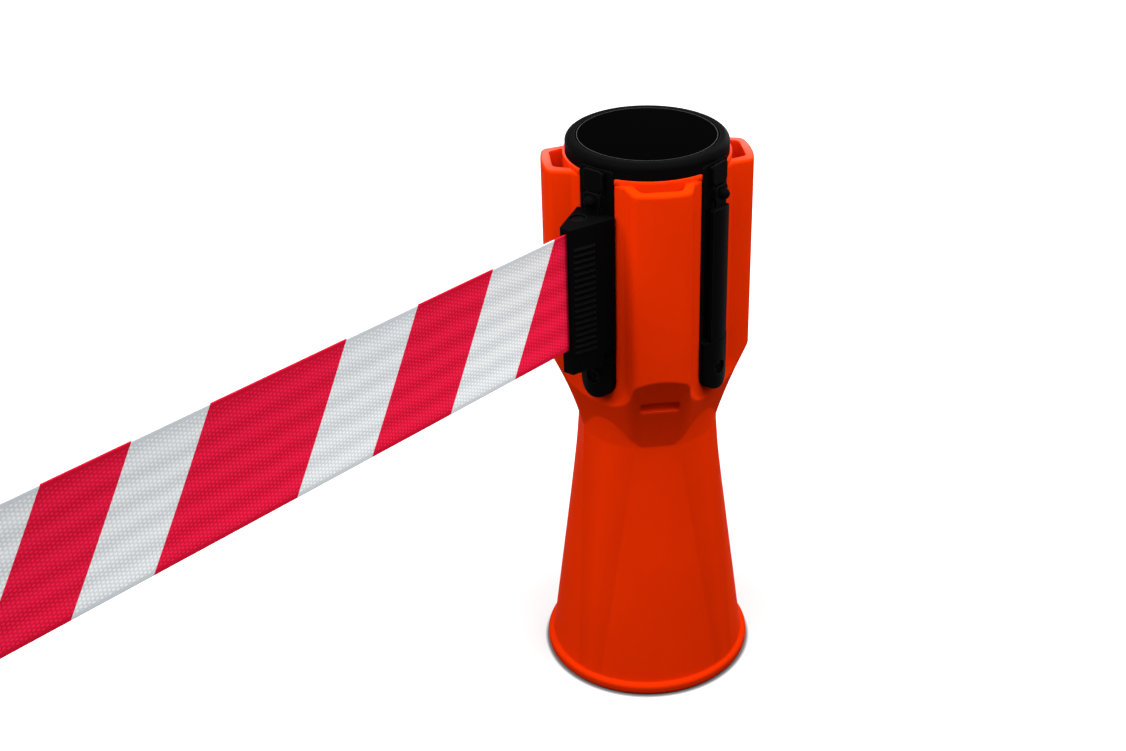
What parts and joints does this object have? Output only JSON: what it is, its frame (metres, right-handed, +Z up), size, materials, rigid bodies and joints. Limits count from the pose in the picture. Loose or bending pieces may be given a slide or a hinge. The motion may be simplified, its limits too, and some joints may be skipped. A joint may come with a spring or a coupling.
{
  "type": "cone topper belt barrier",
  "caption": "Moulded topper that drops over a traffic cone, with a sprung reel of striped barrier belt, an end clip and receiver rails for other belts.",
  "frame": {"origin": "centre of the foot's round mouth, on the surface that the foot stands on", "axes": "+Z up through the cap, -X towards the rail that the belt leaves from"},
  "size_m": [0.3727, 0.0908, 0.2455],
  "materials": {
    "shell": "satin moulded orange",
    "black": "satin moulded black",
    "disc": "smooth black, blank",
    "screw": "black steel",
    "steel": "plain steel",
    "bush": "sintered bronze",
    "natural": "natural nylon",
    "belt": "woven red and white webbing"
  },
  "bodies": {
    "topper": {"belt_lead": "belt", "body_shell": "shell", "cap": "black", "cassette_base": "natural", "cassette_lid": "natural", "cassette_screws": "screw", "cassette_wall": "natural", "exit_catch_spring": "steel", "exit_rail": "black", "front_catch_spring": "steel", "front_rail": "black", "label_disc": "disc", "mouth_block": "black", "mouth_pin": "screw", "mouth_screws": "screw", "rail_screws": "screw", "rear_catch_spring": "steel", "rear_rail": "black", "right_catch_spring": "steel", "right_rail": "black", "spindle": "steel", "spindle_clip": "steel"},
    "spool": {"spool_hub": "natural", "spool_lower_flange": "natural", "spool_upper_flange": "natural", "lower_bush": "bush", "upper_bush": "bush", "belt_anchor_pin": "steel", "spring_case": "natural", "retraction_spring": "steel", "belt_roll": "belt"},
    "guide_roller": {"mouth_roller": "natural"},
    "belt_end": {"end_clip": "black", "end_clip_pin": "steel", "belt_tail": "belt", "belt_run": "belt"},
    "exit_catch": {"exit_catch": "black"},
    "front_catch": {"front_catch": "black"},
    "right_catch": {"right_catch": "black"},
    "rear_catch": {"rear_catch": "black"}
  },
  "joints": [
    {"name": "belt_draw", "type": "slide", "parent": "topper", "child": "belt_end", "axis": [-0.9976, 0.0698, 0], "range_m": [-0.254, 1.8], "deforming": ["belt_run"]},
    {"name": "spool_spin", "type": "hinge", "parent": "topper", "child": "spool", "pos_m": [0, 0, 0.19], "axis": [0, 0, 1], "range_deg": [-834.89, 5910.49], "deforming": ["retraction_spring"]},
    {"name": "roller_spin", "type": "hinge", "parent": "topper", "child": "guide_roller", "pos_m": [-0.04136, 0.00225, 0.1965], "axis": [0, 0, 1], "range_deg": [-34375.03, 4851.56]},
    {"name": "exit_catch_press", "type": "slide", "parent": "topper", "child": "exit_catch", "axis": [1, 0, 0], "range_m": [0, 0.0021], "stiffness_N_per_m": 250, "springref_m": -0.002, "deforming": ["exit_catch_spring"]},
    {"name": "front_catch_press", "type": "slide", "parent": "topper", "child": "front_catch", "axis": [0, 1, 0], "range_m": [0, 0.0021], "stiffness_N_per_m": 250, "springref_m": -0.002, "deforming": ["front_catch_spring"]},
    {"name": "right_catch_press", "type": "slide", "parent": "topper", "child": "right_catch", "axis": [-1, 0, 0], "range_m": [0, 0.0021], "stiffness_N_per_m": 250, "springref_m": -0.002, "deforming": ["right_catch_spring"]},
    {"name": "rear_catch_press", "type": "slide", "parent": "topper", "child": "rear_catch", "axis": [0, -1, 0], "range_m": [0, 0.0021], "stiffness_N_per_m": 250, "springref_m": -0.002, "deforming": ["rear_catch_spring"]}
  ],
  "couplings": [
    {"joint": "spool_spin", "follows": "belt_draw", "rad_per_m": 57.3},
    {"joint": "roller_spin", "follows": "belt_draw", "rad_per_m": -333.3}
  ]
}
